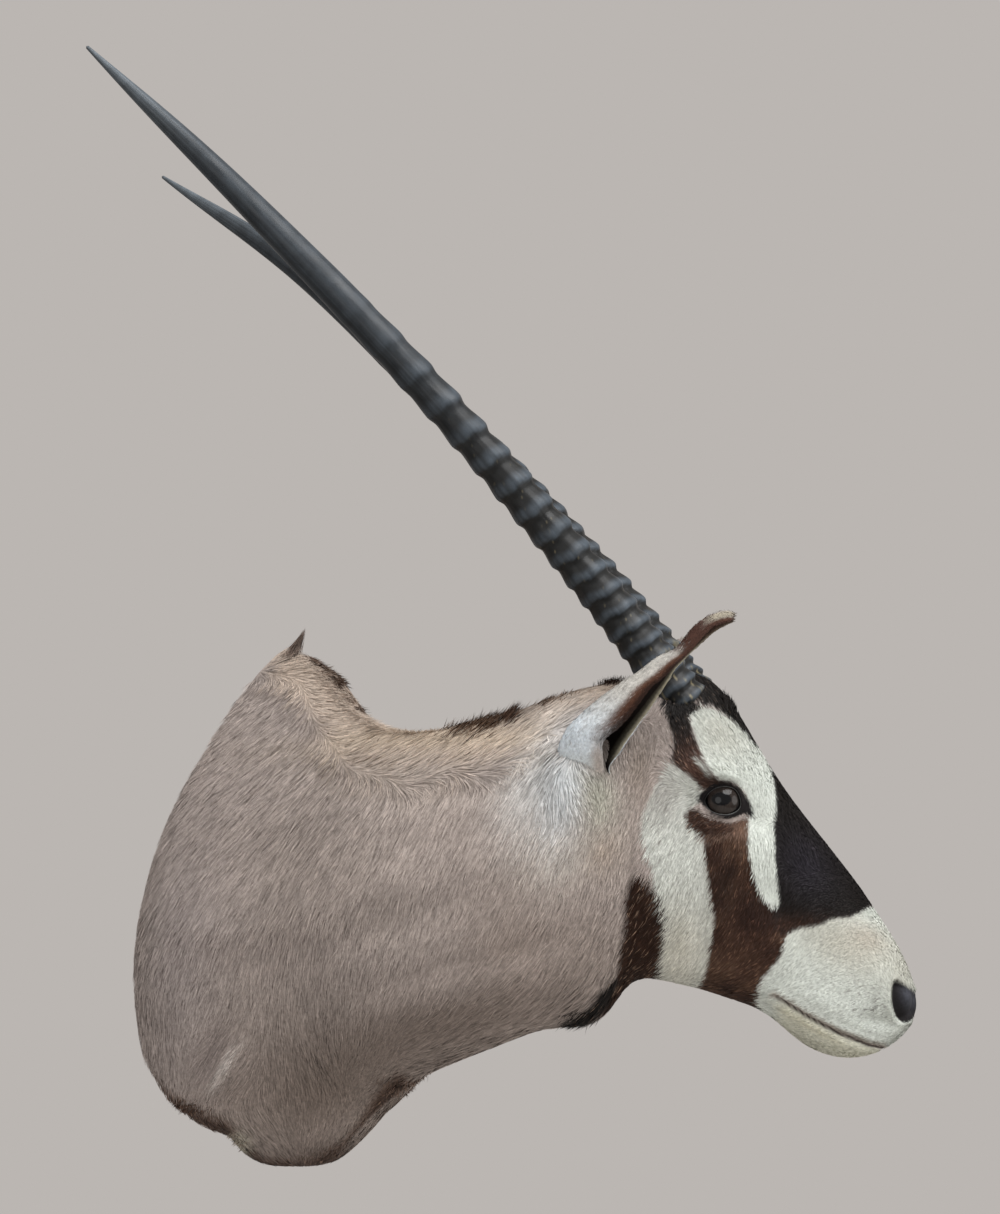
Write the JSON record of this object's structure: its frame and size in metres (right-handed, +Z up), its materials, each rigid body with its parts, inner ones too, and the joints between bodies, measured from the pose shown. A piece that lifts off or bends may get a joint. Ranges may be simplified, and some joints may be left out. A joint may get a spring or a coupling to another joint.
{
  "type": "gemsbok shoulder mount",
  "caption": "Wall-hung gemsbok shoulder mount with head turned to its left, long ringed horns, glass eyes and a plywood back with a keyhole hanger.",
  "frame": {"origin": "on the backboard's back face, on the animal's middle plane, 20 mm above the board's centre", "axes": "+Y is the outward normal of the back, into the wall; +Z is up; the neck leaves the wall along -Y and turns 55 degrees towards +X, the animal's left"},
  "size_m": [0.7098, 0.5722, 1.0429],
  "materials": {
    "hide": "short smooth hair, taupe neck and black, brown and white face",
    "horn": "blue-black horn keratin, satin, ringed on its lower half",
    "eye_glass": "polished opaque glass, dark brown iris",
    "plywood": "bare sanded plywood",
    "steel": "zinc-plated, satin"
  },
  "bodies": {
    "root": {"hide": "hide", "right_horn": "horn", "left_horn": "horn", "right_eye": "eye_glass", "left_eye": "eye_glass", "backboard": "plywood", "hanger_plate": "steel", "hanger_screw_upper": "steel", "hanger_screw_lower": "steel", "board_screw_upper_right": "steel", "board_screw_lower_right": "steel", "board_screw_upper_left": "steel", "board_screw_lower_left": "steel"}
  },
  "joints": []
}
